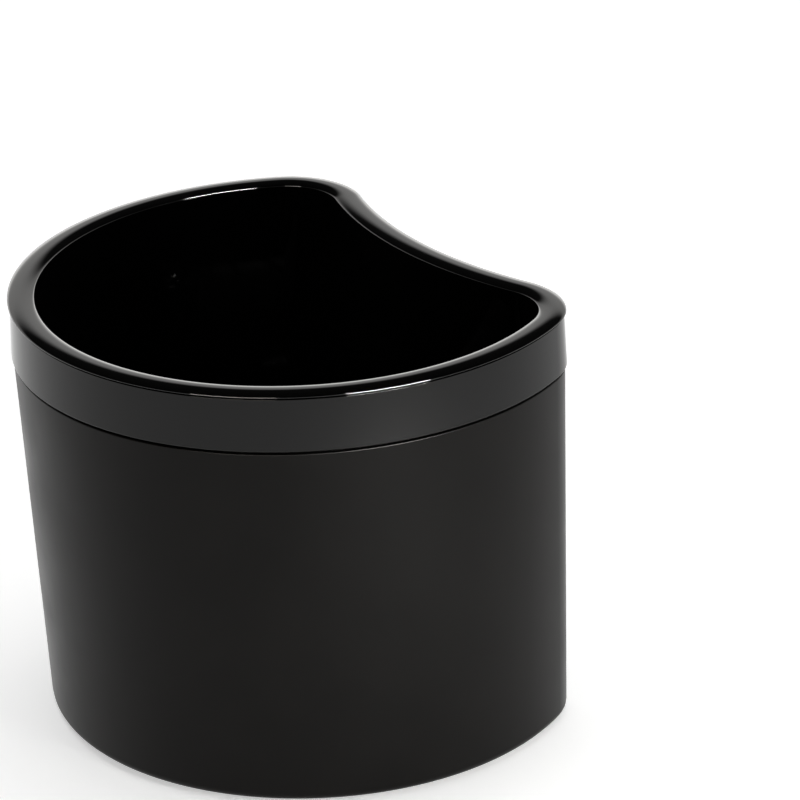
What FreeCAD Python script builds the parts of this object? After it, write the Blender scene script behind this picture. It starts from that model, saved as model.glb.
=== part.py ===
import FreeCAD, Part
import math
import os
import Sketcher
from FreeCAD import Vector

# Espresso knock box: a satin outer shell with a glossy rim band, and a glossy bucket that lifts out
# and carries a rubber-sleeved knock bar. Seen from above the box is a circle with a concave notch.
# Frame: millimetres, +Z up, the notch faces +Y. The origin is where the axis of the round wall
# meets the surface that the box stands on.

SIZES = {
    # the crescent outline at the rim and at the base
    "outer_radius": 70.0,       # round wall, at the lip and at the foot of the band
    "notch_reach": 37.1,        # from the round wall's axis to the deepest point of the notch
    "notch_radius": 115.8,      # concave wall of the notch
    "corner_radius": 20.7,      # horns between the round wall and the notch
    "base_radius": 67.2,        # the base outline is at the top of the rounded foot
    "base_reach": 36.5,
    "base_corner": 18.5,
    "base_shift": 1.1,          # centre of the base circle, towards the notch
    # heights
    "total_height": 108.5,
    "lip_height": 1.2,
    "joint_line": 0.3,          # dark line between the lip and the band
    "band_height": 12.9,
    "shadow_groove": 0.8,       # open step between the band and the shell
    "foot_height": 0.8,         # how far the shell stands clear of the table
    # rim band
    "lip_width": 6.6,
    "lip_crown": 3.1,           # how far each rounded half of the lip reaches towards its crest
    "lip_fall": 0.85,           # how far each half falls
    "band_draft": 0.5,
    "band_wall": 1.5,
    "band_flange": 1.2,
    "band_edge": 0.3,
    "band_fit": 0.2,
    "snap_height": 3.4,         # from the foot of the band up to the snap bead
    "snap_width": 1.2,
    "snap_proud": 0.35,
    # rim seal
    "seal_land": 0.5,           # from the flange's inner edge to the groove
    "seal_width": 1.2,
    "seal_depth": 0.5,
    "seal_gap": 0.05,
    # outer shell
    "shell_setback": 0.5,       # shell behind the foot of the band
    "shell_wall": 2.6,
    "spigot_wall": 1.4,
    "shell_floor": 2.8,
    "shell_round": 2.2,
    # ballast plate, its screws and inserts, and the base pad
    "recess_inset": 6.0,
    "recess_fit": 0.3,
    "plate_thickness": 3.0,
    "pad_thickness": 2.6,
    "boss_margin": 18.0,        # in from the base circle, on its diagonals
    "boss_rear_margin": 16.5,   # in from the notch
    "boss_radius": 4.5,
    "boss_height": 3.4,
    "insert_radius": 2.3,
    "insert_length": 5.0,
    "insert_fit": 0.03,
    "screw_radius": 1.4,
    "screw_fit": 0.05,
    "screw_length": 5.8,
    "head_radius": 2.8,
    "head_height": 1.6,
    "head_fit": 0.1,
    "washer_thickness": 0.5,
    "washer_radius": 2.4,
    # damper pads between the shell's floor and the bucket
    "damper_radius": 6.0,
    "damper_fit": 0.1,
    "damper_seat": 0.8,
    "damper_height": 4.6,
    "damper_gap": 0.2,
    "damper_margin": 21.2,      # in from the base circle, at the front and the sides
    "damper_rear_margin": 20.5,
    # inner bucket
    "bucket_wall": 2.2,
    "bucket_fit": 1.0,          # from the bucket to the band's flange
    "bucket_gap": 2.9,          # from the bucket to the shell's wall at the base
    "bucket_floor": 2.2,
    "bucket_round": 4.5,
    "bucket_inner_round": 4.0,
    # towers that carry the bar
    "tower_side": 3.1,          # wall of a tower on each side of its slot
    "tower_rise": 6.0,          # above the axis of the bar
    "tower_front": 7.2,         # from the bucket's wall, level with the bar, to the tower's face
    "tower_rear": 6.2,
    "slot_depth": 5.4,
    "liner_wall": 1.5,
    "liner_fit": 0.05,
    # knock bar
    "bar_height": 60.0,
    "bar_radius": 4.0,
    "bar_fit": 0.03,
    "sleeve_radius": 9.0,
    "sleeve_round": 1.5,
    "collar_radius": 8.2,
    "collar_width": 2.5,
    "tongue_half": 5.0,
    "tongue_drop": 6.0,
    "tongue_rise": 5.5,
    "tongue_width": 4.8,
    "running_gap": 0.3,
    "core_seat": 3.6,           # how far the core enters each end
    "grip_width": 1.6,
    "grip_depth": 0.7,
    "grip_margin": 6.0,         # from the end of the sleeve to the far side of the first groove
    "grip_count": 9,
    "bar_screw_length": 8.0,
    "core_drill": 9.0,
}


def split(terms):
    """The entries of a signed list, such as 'height -0.5*wall', as sign, factor and name."""
    entries = []
    for term in terms.split():
        factor, _, name = term.lstrip("-").rpartition("*")
        entries.append((-1 if term.startswith("-") else 1, factor or "1", name))
    return entries


def minus(terms):
    """A signed list of sizes with every sign turned round."""
    return " ".join(term[1:] if term.startswith("-") else "-" + term for term in terms.split())


def between(low, high):
    """A wall's distance level with the bar, from its distances at the floor and at the mouth."""
    words = [low]
    for terms in (minus(low), high):
        words += [("-" if sign < 0 else "") + "bar_share*" + name for sign, _, name in split(terms)]
    return " ".join(words)


def number(terms):
    """The value of a signed list of sizes."""
    total = 0.0
    for sign, factor, name in split(terms):
        if factor in SHARES:
            part, whole = SHARES[factor]
            total += sign * SIZES[name] * number(part) / number(whole)
        else:
            total += sign * SIZES[name] * float(factor)
    return total


def formula(terms):
    """A signed list of sizes as an expression on the sheet."""
    words = ["0"]
    for sign, factor, name in split(terms):
        if factor in SHARES:
            part, whole = SHARES[factor]
            factor = f"(({formula(part)}) / ({formula(whole)}))"
        words.append(f"{'-' if sign < 0 else '+'} {factor} * {SHEET}.{name}")
    return " ".join(words)


SHEET = "Sizes"
QUARTER = [math.radians(angle) for angle in (0, 22.5, 45, 67.5, 90)]     # steps round a rounded edge
RIM = {"radius": "outer_radius", "reach": "notch_reach", "corner": "corner_radius", "shift": ""}
BASE = {"radius": "base_radius", "reach": "base_reach", "corner": "base_corner", "shift": "base_shift"}

# Heights of the main levels, each as a signed list of sizes.
LIP_SEAT = "total_height -lip_height"
BAND_TOP = LIP_SEAT + " -joint_line"
BAND_FOOT = BAND_TOP + " -band_height"
SHELL_SHOULDER = BAND_FOOT + " -shadow_groove"
FLANGE_SEAT = BAND_TOP + " -band_flange"
SEAL_SEAT = BAND_TOP + " -seal_depth"
PLATE_SEAT = "pad_thickness plate_thickness"
SHELL_FLOOR = PLATE_SEAT + " shell_floor"
DAMPER_FOOT = SHELL_FLOOR + " -damper_seat"
BUCKET_FOOT = SHELL_FLOOR + " damper_height damper_gap"
BUCKET_FLOOR = BUCKET_FOOT + " bucket_floor"
TOWER_TOP = "bar_height tower_rise"
TONGUE_FOOT = "bar_height -tongue_drop"
SLOT_FOOT = TONGUE_FOOT + " -liner_wall"
SNAP_FOOT = BAND_FOOT + " snap_height"

# Insets from the outline to the faces of each wall.
BAND_INNER = "band_wall"
SPIGOT_OUTER = BAND_INNER + " band_fit"
SPIGOT_INNER = SPIGOT_OUTER + " spigot_wall"
BUCKET_OUTER = "lip_width -bucket_wall"
FLANGE_INNER = BUCKET_OUTER + " -bucket_fit"
SEAL_INNER = FLANGE_INNER + " -seal_land"
SEAL_OUTER = SEAL_INNER + " -seal_width"
BUCKET_BASE_OUTER = "shell_wall bucket_gap"
BUCKET_BASE_INNER = BUCKET_BASE_OUTER + " bucket_wall"

# How far up the bucket's wall the bar lies, from its floor to its mouth.
SHARES = {"bar_share": ("bar_height " + minus(BUCKET_FLOOR), "total_height " + minus(BUCKET_FLOOR))}

# The faces of the towers and the ends of the bar, along Y.
FRONT_WALL = between("base_radius -base_shift " + minus(BUCKET_BASE_INNER), "outer_radius -lip_width")
REAR_WALL = between("base_reach " + minus(BUCKET_BASE_INNER), "notch_reach -lip_width")
FRONT_FACE = minus(FRONT_WALL) + " tower_front"
REAR_FACE = REAR_WALL + " -tower_rear"
FRONT_COLLAR = FRONT_FACE + " running_gap"
REAR_COLLAR = REAR_FACE + " -running_gap"
SLEEVE_START = FRONT_COLLAR + " collar_width"
SLEEVE_END = REAR_COLLAR + " -collar_width"
FRONT_TIP = FRONT_COLLAR + " -tongue_width"
REAR_TIP = REAR_COLLAR + " tongue_width"
CORE_START = SLEEVE_START + " -core_seat"
CORE_END = SLEEVE_END + " core_seat"
GRIP_START = SLEEVE_START + " grip_margin"
SLOT_HALF = "tongue_half running_gap liner_wall liner_fit"
TOWER_HALF = SLOT_HALF + " tower_side"
HEAD_SEAT = "pad_thickness head_height head_fit"
UNDER_HEAD = "head_fit head_height"
HEAD_SPACE = UNDER_HEAD + " washer_thickness"

# Spots of the ballast screws and of the damper pads.
DIAGONAL = f"{math.sqrt(0.5):.4f}*base_radius {-math.sqrt(0.5):.4f}*boss_margin"
BOSS_REAR = "base_reach -boss_rear_margin"
BOSSES = [
    (DIAGONAL, minus(DIAGONAL)),
    (minus(DIAGONAL), minus(DIAGONAL)),
    (DIAGONAL, BOSS_REAR),
    (minus(DIAGONAL), BOSS_REAR),
]
DAMPER_SIDE = "base_radius -damper_margin"
DAMPERS = {
    "damper_front": ("", minus(DAMPER_SIDE)),
    "damper_rear": ("", "base_reach -damper_rear_margin"),
    "damper_left": (minus(DAMPER_SIDE), ""),
    "damper_right": (DAMPER_SIDE, ""),
}

doc = FreeCAD.newDocument("KnockBox")


def make_sheet():
    """Write every driving size into the spreadsheet, one row each."""
    sheet = doc.addObject("Spreadsheet::Sheet", SHEET)
    for row, (name, value) in enumerate(SIZES.items(), start=1):
        sheet.set(f"A{row}", name)
        sheet.set(f"B{row}", str(value))
        sheet.setAlias(f"B{row}", name)
    doc.recompute()


def origin_part(body, role):
    """One of the body's own origin planes or axes."""
    return [item for item in body.Origin.OriginFeatures if item.Role == role][0]


def make_sketch(body, name, role, offset):
    """A sketch on one of the body's origin planes, moved along the plane's normal."""
    sketch = body.newObject("Sketcher::SketchObject", name)
    sketch.AttachmentSupport = (origin_part(body, role), "")
    sketch.MapMode = "FlatFace"
    sketch.setExpression("AttachmentOffset.Base.z", formula(offset))
    return sketch


def bind(sketch, constraint, terms):
    """Add a driving dimension and bind it to the sheet."""
    index = sketch.addConstraint(constraint)
    sketch.renameConstraint(index, f"size_{index}")
    sketch.setExpression(f"Constraints.size_{index}", formula(terms))


def pin_point(sketch, shape, end, x_terms, y_terms):
    """Hold one point of a sketch at a signed distance from the origin along each axis."""
    for kind, axis, terms in (("DistanceX", -2, x_terms), ("DistanceY", -1, y_terms)):
        if abs(number(terms)) < 1e-9:
            sketch.addConstraint(Sketcher.Constraint("PointOnObject", shape, end, axis))
        elif number(terms) > 0:
            bind(sketch, Sketcher.Constraint(kind, -1, 1, shape, end, number(terms)), terms)
        else:
            bind(sketch, Sketcher.Constraint(kind, shape, end, -1, 1, -number(terms)), minus(terms))


def arc(centre, radius, start, end):
    """A counter-clockwise arc from one point to another."""
    angles = [math.atan2(point.y - centre.y, point.x - centre.x) for point in (start, end)]
    if angles[1] < angles[0]:
        angles[1] += 2 * math.pi
    return Part.ArcOfCircle(Part.Circle(centre, Vector(0, 0, 1), radius), angles[0], angles[1])


def draw_outline(sketch, family, inset):
    """Draw the crescent outline: round wall, right horn, concave notch, left horn."""
    radius = family["radius"] + " " + minus(inset)
    corner = family["corner"] + " " + minus(inset)
    notch = "notch_radius " + inset
    notch_y = family["reach"] + " notch_radius"
    hub = Vector(0, number(family["shift"]), 0)
    pivot = Vector(0, number(notch_y), 0)
    inner = number(radius) - number(corner)
    span = pivot.y - hub.y
    along = (inner ** 2 - (number(notch) + number(corner)) ** 2 + span ** 2) / (2 * span)
    right = hub + Vector(math.sqrt(inner ** 2 - along ** 2), along, 0)
    left = Vector(-right.x, right.y, 0)
    joins = {}
    for side, horn in (("right", right), ("left", left)):
        joins[side, "round"] = hub + (horn - hub).normalize() * number(radius)
        joins[side, "notch"] = pivot + (horn - pivot).normalize() * number(notch)

    start = sketch.GeometryCount
    wall, right_horn, hollow, left_horn = range(start, start + 4)
    sketch.addGeometry(arc(hub, number(radius), joins["left", "round"], joins["right", "round"]))
    sketch.addGeometry(arc(right, number(corner), joins["right", "round"], joins["right", "notch"]))
    sketch.addGeometry(arc(pivot, number(notch), joins["left", "notch"], joins["right", "notch"]))
    sketch.addGeometry(arc(left, number(corner), joins["left", "notch"], joins["left", "round"]))
    for joint in (
        (wall, 2, right_horn, 1),
        (right_horn, 2, hollow, 2),
        (hollow, 1, left_horn, 1),
        (left_horn, 2, wall, 1),
    ):
        sketch.addConstraint(Sketcher.Constraint("Tangent", *joint))
    sketch.addConstraint(Sketcher.Constraint("Equal", right_horn, left_horn))
    bind(sketch, Sketcher.Constraint("Radius", wall, number(radius)), radius)
    bind(sketch, Sketcher.Constraint("Radius", right_horn, number(corner)), corner)
    bind(sketch, Sketcher.Constraint("Radius", hollow, number(notch)), notch)
    pin_point(sketch, wall, 3, "", family["shift"])
    pin_point(sketch, hollow, 3, "", notch_y)


def outline(body, name, family, level, *insets):
    """A level's sketch of the crescent, drawn once for each inset, or once with none."""
    sketch = make_sketch(body, name, "XY_Plane", level)
    for inset in insets or ("",):
        draw_outline(sketch, family, inset)
    return sketch


def circles(body, name, level, radius, spots):
    """Equal circles at several spots of a level."""
    sketch = make_sketch(body, name, "XY_Plane", level)
    for index, (x_terms, y_terms) in enumerate(spots):
        centre = Vector(number(x_terms), number(y_terms), 0)
        sketch.addGeometry(Part.Circle(centre, Vector(0, 0, 1), number(radius)))
        bind(sketch, Sketcher.Constraint("Radius", index, number(radius)), radius)
        pin_point(sketch, index, 3, x_terms, y_terms)
    return sketch


def half_section(body, name, low, high):
    """A rectangle on the YZ plane between two corners, each as the distance along Y and the radius."""
    sketch = make_sketch(body, name, "YZ_Plane", "")
    y0, r0 = number(low[0]), number(low[1])
    y1, r1 = number(high[0]), number(high[1])
    corners = [Vector(y0, r0, 0), Vector(y1, r0, 0), Vector(y1, r1, 0), Vector(y0, r1, 0)]
    for index, kind in enumerate(("Horizontal", "Vertical", "Horizontal", "Vertical")):
        sketch.addGeometry(Part.LineSegment(corners[index], corners[(index + 1) % 4]))
        sketch.addConstraint(Sketcher.Constraint(kind, index))
    for index in range(4):
        sketch.addConstraint(Sketcher.Constraint("Coincident", index, 2, (index + 1) % 4, 1))
    pin_point(sketch, 0, 1, *low)
    pin_point(sketch, 2, 1, *high)
    return sketch


def feature(body, kind, name, profile):
    """A PartDesign feature on a sketch."""
    item = body.newObject("PartDesign::" + kind, name)
    item.Profile = profile
    return item


def pad(body, name, profile, length):
    """Add material upwards from a sketch."""
    item = feature(body, "Pad", name, profile)
    item.setExpression("Length", formula(length))
    return item


def pocket_up(body, name, profile, length):
    """Cut upwards from a sketch."""
    item = feature(body, "Pocket", name, profile)
    item.setExpression("Length", formula(length))
    item.Reversed = True
    return item


def loft(body, kind, name, stations):
    """A straight-sided loft through outlines, each station a family, a level and an inset."""
    sketches = [outline(body, f"{name}_{index}", *station) for index, station in enumerate(stations)]
    item = feature(body, kind, name, sketches[0])
    item.Sections = sketches[1:]
    item.Ruled = True
    return item


def rounded_foot(level, inset, radius):
    """Stations round a quarter circle, from a flat foot up to the wall of the base outline."""
    return [
        (BASE, f"{level} {rise:.3f}*{radius}", f"{inset} {step:.3f}*{radius}")
        for rise, step in ((1 - math.cos(angle), 1 - math.sin(angle)) for angle in QUARTER)
    ]


def crown(edge, towards):
    """Stations over half of the lip, a quarter of an ellipse, from one of its edges up to its crest."""
    return [
        (RIM, f"total_height -{1 - math.sin(angle):.3f}*lip_fall",
         f"{edge} {towards}{1 - math.cos(angle):.3f}*lip_crown")
        for angle in QUARTER
    ]


def turn(body, kind, name, profile):
    """A full turn of a half section about the body's Y axis."""
    item = feature(body, kind, name, profile)
    item.ReferenceAxis = (origin_part(body, "Y_Axis"), [""])
    item.Angle = 360
    return item


def end_edges(shape, places):
    """Names of the outermost round edges at given places along Y."""
    widest = max(edge.BoundBox.XLength for edge in shape.Edges)
    return [
        f"Edge{index}" for index, edge in enumerate(shape.Edges, start=1)
        if edge.BoundBox.XLength > widest - 1e-3
        and any(abs(edge.BoundBox.YMin - spot) + abs(edge.BoundBox.YMax - spot) < 1e-3 for spot in places)
    ]


def fillet(body, name, base, edges, radius):
    """Round some edges of a feature."""
    item = body.newObject("PartDesign::Fillet", name)
    item.Base = (base, edges)
    item.setExpression("Radius", formula(radius))
    return item


def place(item, spot, along_y=False):
    """Put a primitive at a spot given as three signed lists of sizes."""
    if along_y:
        item.Placement = FreeCAD.Placement(Vector(), FreeCAD.Rotation(Vector(1, 0, 0), -90))
    for axis, terms in zip("xyz", spot):
        item.setExpression(f"Placement.Base.{axis}", formula(terms))


def cylinder(name, radius, length, spot, along_y=False):
    """A cylinder that starts at a spot and runs up, or along +Y."""
    item = doc.addObject("Part::Cylinder", name)
    item.setExpression("Radius", formula(radius))
    item.setExpression("Height", formula(length))
    place(item, spot, along_y)
    return item


def box(name, low, high):
    """A box between two corners, each given as three signed lists of sizes."""
    item = doc.addObject("Part::Box", name)
    for side, start, end in zip(("Length", "Width", "Height"), low, high):
        item.setExpression(side, formula(end + " " + minus(start)))
    place(item, low)
    return item


def cut(name, base, tool):
    """One shape less another."""
    item = doc.addObject("Part::Cut", name)
    item.Base = base
    item.Tool = tool
    return item


def fuse(name, shapes):
    """Several shapes as one solid."""
    item = doc.addObject("Part::MultiFuse", name)
    item.Shapes = shapes
    return item


def in_order(first, second):
    """Two places along an axis, the lower one first."""
    return (first, second) if number(first) < number(second) else (second, first)


def group(name, shapes):
    """Several separate solids as one node."""
    item = doc.addObject("Part::Compound", name)
    item.Links = shapes
    return item


def make_body(label):
    """An empty body whose label is the name of its node."""
    body = doc.addObject("PartDesign::Body", label)
    body.Label = label
    body.Placement = FreeCAD.Placement()
    return body


def make_outer_shell():
    """Tapered tub with a rebated spigot for the band, a floor, and a recess under it."""
    body = make_body("outer_shell")
    outside = rounded_foot("foot_height", "", "shell_round") + [(RIM, SHELL_SHOULDER, "shell_setback")]
    loft(body, "AdditiveLoft", "shell_outside", outside)
    spigot = outline(body, "spigot_outer", RIM, SHELL_SHOULDER, SPIGOT_OUTER)
    pad(body, "spigot", spigot, "band_height shadow_groove -band_flange")
    bead = outline(body, "snap_outer", RIM, SNAP_FOOT, SPIGOT_OUTER + " -snap_proud")
    pad(body, "snap_bead", bead, "snap_width")
    inside = [(BASE, SHELL_FLOOR, "shell_wall"), (RIM, FLANGE_SEAT, SPIGOT_INNER)]
    loft(body, "SubtractiveLoft", "shell_cavity", inside)
    recess = outline(body, "recess_outline", BASE, "foot_height", "recess_inset")
    pocket_up(body, "base_recess", recess, PLATE_SEAT + " -foot_height")
    pad(body, "bosses", circles(body, "boss_circles", SHELL_FLOOR, "boss_radius", BOSSES), "boss_height")
    holes = circles(body, "insert_holes", PLATE_SEAT, "insert_radius insert_fit", BOSSES)
    pocket_up(body, "insert_pockets", holes, "insert_length insert_fit")
    seats = circles(body, "damper_circles", DAMPER_FOOT, "damper_radius damper_fit", DAMPERS.values())
    pocket_up(body, "damper_seats", seats, "damper_seat")
    return [body]


def make_rim_band():
    """Glossy collar: a slightly flared skirt, an inner flange with the seal's groove, a snap groove."""
    body = make_body("rim_band")
    skirt = [
        (RIM, BAND_FOOT, "band_edge"),
        (RIM, BAND_FOOT + " band_edge", ""),
        (RIM, BAND_TOP + " -band_edge", "band_draft"),
        (RIM, BAND_TOP, "band_draft band_edge"),
    ]
    loft(body, "AdditiveLoft", "band_outside", skirt)
    bore = outline(body, "band_inner", RIM, BAND_FOOT, BAND_INNER)
    pocket_up(body, "band_bore", bore, "band_height -band_flange")
    mouth = outline(body, "band_mouth", RIM, BAND_FOOT, FLANGE_INNER)
    pocket_up(body, "flange_mouth", mouth, "band_height")
    snap = outline(body, "snap_groove", RIM, SNAP_FOOT + " -band_fit", BAND_INNER + " -snap_proud")
    pocket_up(body, "snap_recess", snap, "snap_width 2*band_fit")
    groove = outline(body, "seal_groove", RIM, SEAL_SEAT, SEAL_OUTER, SEAL_INNER)
    pocket_up(body, "seal_recess", groove, "seal_depth")
    return [body]


def make_rim_seal():
    """Rubber ring in the band's flange that the bucket's lip rests on."""
    body = make_body("rim_seal")
    edges = (SEAL_OUTER + " seal_gap", SEAL_INNER + " -seal_gap")
    pad(body, "seal_ring", outline(body, "seal_edges", RIM, SEAL_SEAT, *edges), "seal_depth joint_line")
    return [body]


def make_ballast():
    """Steel plate in the recess under the shell, held by four screws in brass inserts."""
    body = make_body("ballast_plate")
    edge = outline(body, "plate_outline", BASE, "pad_thickness", "recess_inset recess_fit")
    pad(body, "plate", edge, "plate_thickness")
    holes = circles(body, "plate_holes", "pad_thickness", "screw_radius recess_fit", BOSSES)
    pocket_up(body, "plate_bores", holes, "plate_thickness")
    heads = circles(body, "head_holes", "pad_thickness", "head_radius recess_fit", BOSSES)
    pocket_up(body, "head_bores", heads, "head_height head_fit")
    screws = []
    inserts = []
    for index, (x_terms, y_terms) in enumerate(BOSSES, start=1):
        seat = (x_terms, y_terms, HEAD_SEAT)
        head_spot = (x_terms, y_terms, HEAD_SEAT + " -head_height")
        head = cylinder(f"ballast_head_{index}", "head_radius", "head_height", head_spot)
        shank = cylinder(f"ballast_shank_{index}", "screw_radius", "screw_length", seat)
        screws.append(fuse(f"ballast_screw_{index}", [head, shank]))
        spot = (x_terms, y_terms, PLATE_SEAT)
        sleeve = cylinder(f"insert_sleeve_{index}", "insert_radius", "insert_length", spot)
        thread = cylinder(f"insert_thread_{index}", "screw_radius screw_fit", "insert_length", spot)
        inserts.append(cut(f"insert_{index}", sleeve, thread))
    return [body, group("ballast_screws", screws), group("threaded_inserts", inserts)]


def make_base_pad():
    """Non-slip rubber sheet that fills the recess and stands proud of the shell."""
    body = make_body("base_pad")
    edge = outline(body, "pad_outline", BASE, "", "recess_inset recess_fit")
    pad(body, "pad_sheet", edge, "pad_thickness")
    return [body]


def make_dampers():
    """Rubber buffers on the shell's floor that catch the bucket when the bar is struck."""
    return [
        cylinder(label, "damper_radius", "damper_seat damper_height", (x_terms, y_terms, DAMPER_FOOT))
        for label, (x_terms, y_terms) in DAMPERS.items()
    ]


def make_bucket_blank():
    """The bucket before it is hollowed: tapered outside, rounded foot and the crowned lip."""
    body = make_body("bucket_blank")
    outside = rounded_foot(BUCKET_FOOT, BUCKET_BASE_OUTER, "bucket_round")
    outside.append((RIM, LIP_SEAT, BUCKET_OUTER))
    loft(body, "AdditiveLoft", "bucket_outside", outside)
    loft(body, "AdditiveLoft", "lip", [(RIM, LIP_SEAT, "")] + crown("", ""))
    return body


def make_bucket_cavity():
    """The space inside the bucket, from its rounded floor to the rounded inner half of the lip."""
    body = make_body("bucket_cavity")
    inside = rounded_foot(BUCKET_FLOOR, BUCKET_BASE_INNER, "bucket_inner_round")
    loft(body, "AdditiveLoft", "cavity_space", inside + crown("lip_width", "-"))
    return body


def make_inner_bucket():
    """Lift-out bucket: lip, thin walls, and two towers with open slots for the bar."""
    front = box(
        "front_tower", (minus(TOWER_HALF), "-outer_radius -base_radius", BUCKET_FOOT),
        (TOWER_HALF, FRONT_FACE, TOWER_TOP),
    )
    rear = box(
        "rear_tower", (minus(TOWER_HALF), REAR_FACE, BUCKET_FOOT),
        (TOWER_HALF, "notch_reach base_reach", TOWER_TOP),
    )
    space = cut("space_round_towers", make_bucket_cavity(), fuse("towers", [front, rear]))
    hollow = cut("hollow_bucket", make_bucket_blank(), space)
    slots = []
    for side, start, end in (
        ("front", FRONT_FACE + " -slot_depth", FRONT_FACE),
        ("rear", REAR_FACE, REAR_FACE + " slot_depth"),
    ):
        low = (minus(SLOT_HALF), start, SLOT_FOOT)
        slots.append(box(f"{side}_slot", low, (SLOT_HALF, end, TOWER_TOP)))
    return [cut("inner_bucket", hollow, fuse("slots", slots))]


def make_cradle_liners():
    """Rubber channels in the slots that the tongues of the bar drop into."""
    liners = []
    outer = SLOT_HALF + " -liner_fit"
    inner = outer + " -liner_wall"
    for side, start, end in (
        ("front", FRONT_FACE + " -slot_depth liner_fit", FRONT_FACE),
        ("rear", REAR_FACE, REAR_FACE + " slot_depth -liner_fit"),
    ):
        block = box(f"liner_block_{side}", (minus(outer), start, SLOT_FOOT), (outer, end, TOWER_TOP))
        low = (minus(inner), start, TONGUE_FOOT)
        channel = box(f"liner_channel_{side}", low, (inner, end, TOWER_TOP))
        liners.append(cut(f"cradle_liner_{side}", block, channel))
    return liners


def along_bar(name, radius, start, end):
    """A cylinder on the axis of the bar, between two places along Y."""
    return cylinder(name, radius, end + " " + minus(start), ("", start, "bar_height"), along_y=True)


def make_bar_ends():
    """Moulded ends of the bar: a collar against the sleeve and a flat-sided tongue."""
    ends = []
    for side, collar, tongue, seat, head in (
        ("front", (FRONT_COLLAR, SLEEVE_START), (FRONT_TIP, FRONT_COLLAR),
         (CORE_START, SLEEVE_START), (FRONT_TIP, FRONT_TIP + " " + HEAD_SPACE)),
        ("rear", (SLEEVE_END, REAR_COLLAR), (REAR_COLLAR, REAR_TIP),
         (SLEEVE_END, CORE_END), (REAR_TIP + " " + minus(HEAD_SPACE), REAR_TIP)),
    ):
        low = ("-tongue_half", tongue[0], TONGUE_FOOT)
        blade = box(f"tongue_{side}", low, ("tongue_half", tongue[1], "bar_height tongue_rise"))
        block = fuse(f"end_block_{side}", [along_bar(f"collar_{side}", "collar_radius", *collar), blade])
        bores = [
            along_bar(f"core_seat_{side}", "bar_radius bar_fit", *seat),
            along_bar(f"end_hole_{side}", "screw_radius screw_fit", *tongue),
            along_bar(f"end_head_{side}", "head_radius head_fit", *head),
        ]
        ends.append(cut(f"bar_end_{side}", block, fuse(f"end_bores_{side}", bores)))
    return ends


def make_bar_core():
    """Steel core of the bar, drilled at both ends for the screws."""
    drills = [
        along_bar("core_drill_front", "screw_radius screw_fit", CORE_START, CORE_START + " core_drill"),
        along_bar("core_drill_rear", "screw_radius screw_fit", CORE_END + " -core_drill", CORE_END),
    ]
    rod = along_bar("core_rod", "bar_radius", CORE_START, CORE_END)
    return [cut("bar_core", rod, fuse("drills", drills))]


def make_bar_screws():
    """The two screws that clamp the ends to the core, each with a spring washer under its head."""
    screws = []
    washers = []
    for side, tip in (("front", FRONT_TIP), ("rear", REAR_TIP)):
        outer, inner, washer, point = [
            tip + " " + (depth if side == "front" else minus(depth))
            for depth in ("head_fit", UNDER_HEAD, HEAD_SPACE, UNDER_HEAD + " bar_screw_length")
        ]
        head = along_bar(f"bar_screw_head_{side}", "head_radius", *in_order(outer, inner))
        shank = along_bar(f"bar_screw_shank_{side}", "screw_radius", *in_order(inner, point))
        screws.append(fuse(f"bar_screw_{side}", [head, shank]))
        ring = along_bar(f"washer_ring_{side}", "washer_radius", *in_order(inner, washer))
        hole = along_bar(f"washer_hole_{side}", "screw_radius screw_fit", *in_order(inner, washer))
        washers.append(cut(f"washer_{side}", ring, hole))
    return [group("bar_screws", screws), group("bar_washers", washers)]


def make_bar_sleeve():
    """Rubber sleeve on the core, with rounded ends and shallow grip grooves."""
    body = make_body("bar_sleeve")
    body.setExpression("Placement.Base.z", formula("bar_height"))
    section = half_section(
        body, "sleeve_section", (SLEEVE_START, "bar_radius bar_fit"), (SLEEVE_END, "sleeve_radius"),
    )
    sleeve = turn(body, "Revolution", "sleeve_turn", section)
    doc.recompute()
    ends = end_edges(sleeve.Shape, (number(SLEEVE_START), number(SLEEVE_END)))
    fillet(body, "sleeve_ends", sleeve, ends, "sleeve_round")
    groove_low = (GRIP_START + " -grip_width", "sleeve_radius -grip_depth")
    section = half_section(body, "grip_section", groove_low, (GRIP_START, "sleeve_radius grip_depth"))
    groove = turn(body, "Groove", "grip_groove", section)
    pattern = body.newObject("PartDesign::LinearPattern", "grip_grooves")
    pattern.Originals = [groove]
    pattern.Direction = (origin_part(body, "Y_Axis"), [""])
    pattern.Occurrences = SIZES["grip_count"]
    spread = SLEEVE_END + " " + minus(GRIP_START) + " grip_width -grip_margin"
    pattern.setExpression("Length", formula(spread))
    body.Tip = pattern
    return [body]


def check(parts):
    """Stop if any object of the document failed, or a sub-part's shape is empty or broken."""
    failed = [item.Name for item in doc.Objects if {"Invalid", "Error"} & set(item.State)]
    failed += [item.Label for item in parts if item.Shape.isNull() or not item.Shape.isValid()]
    if failed:
        raise RuntimeError("failed objects: " + ", ".join(failed))


def export(parts):
    """Write one STEP file for each sub-part."""
    os.makedirs("parts", exist_ok=True)
    for item in parts:
        item.Shape.exportStep(f"parts/{item.Label}.step")
        print(f"{item.Label}: {len(item.Shape.Solids)} solids, {item.Shape.Volume / 1000:.2f} cm3")


def main():
    make_sheet()
    parts = []
    for make in (
        make_outer_shell, make_rim_band, make_rim_seal, make_ballast, make_base_pad,
        make_dampers, make_inner_bucket, make_cradle_liners, make_bar_core, make_bar_sleeve,
        make_bar_ends, make_bar_screws,
    ):
        parts += make()
    doc.recompute()
    check(parts)
    export(parts)


main()
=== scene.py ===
import math
from collections import namedtuple

import bmesh
import bpy
from mathutils import Matrix, Vector


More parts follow.
